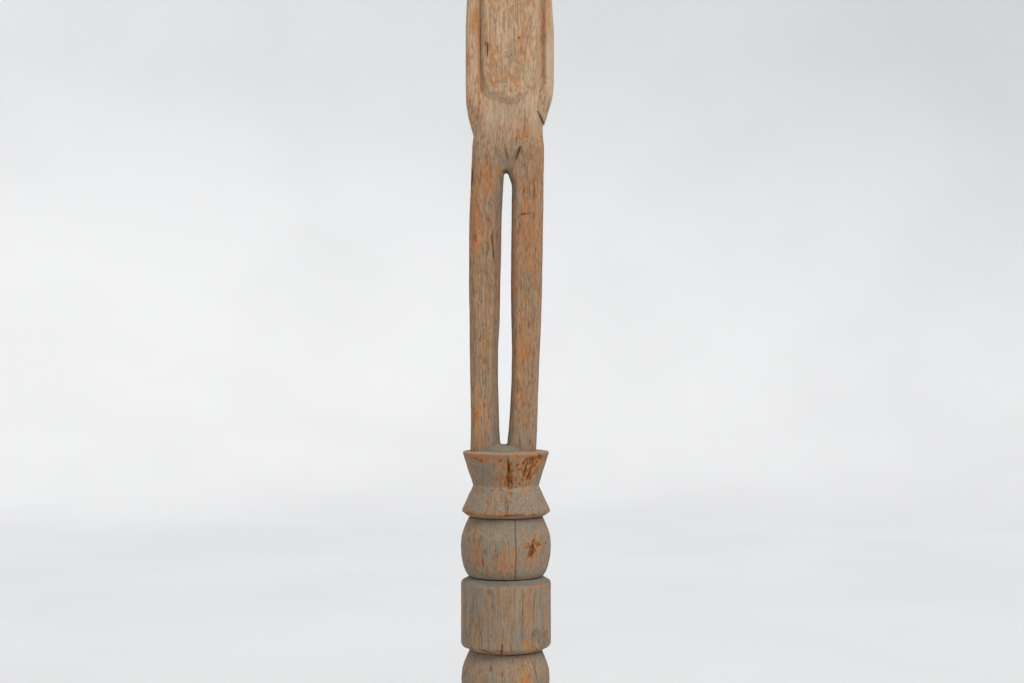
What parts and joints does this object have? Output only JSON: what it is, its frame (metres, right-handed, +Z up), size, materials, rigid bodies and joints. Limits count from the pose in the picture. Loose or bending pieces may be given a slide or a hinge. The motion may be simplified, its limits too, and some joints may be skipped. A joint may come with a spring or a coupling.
{
  "type": "carved ancestor figure",
  "caption": "Slender carved standing figure on a post of stacked balls, drums and spools, doweled together, held upright by a steel floor stand.",
  "frame": {"origin": "middle of the stand's footprint, on the floor", "axes": "+Z up along the post; the figure faces -Y, so its own left side is on +X"},
  "size_m": [0.26, 0.26, 1.459],
  "materials": {
    "weathered_wood": "sun-bleached, unsealed, matte, with dark checks and worn edges",
    "dowel_wood": "plain turned hardwood, unfinished",
    "black_steel": "matt black powder coat",
    "bare_steel": "bare turned steel",
    "pad_rubber": "matt black rubber"
  },
  "bodies": {
    "root": {"base_plate": "black_steel", "base_pads": "pad_rubber", "pin_collar": "black_steel", "stand_pin": "bare_steel", "pin_bolt": "bare_steel", "foot_post": "weathered_wood", "lower_spool": "weathered_wood", "lower_ball": "weathered_wood", "lower_drum": "weathered_wood", "middle_ball": "weathered_wood", "upper_drum": "weathered_wood", "upper_ball": "weathered_wood", "upper_spool": "weathered_wood", "legs_and_hips": "weathered_wood", "torso": "weathered_wood", "right_arm": "weathered_wood", "left_arm": "weathered_wood", "head": "weathered_wood", "stack_dowels": "dowel_wood", "leg_dowels": "dowel_wood", "waist_dowel": "dowel_wood", "neck_dowel": "dowel_wood", "arm_pegs": "dowel_wood"}
  },
  "joints": []
}
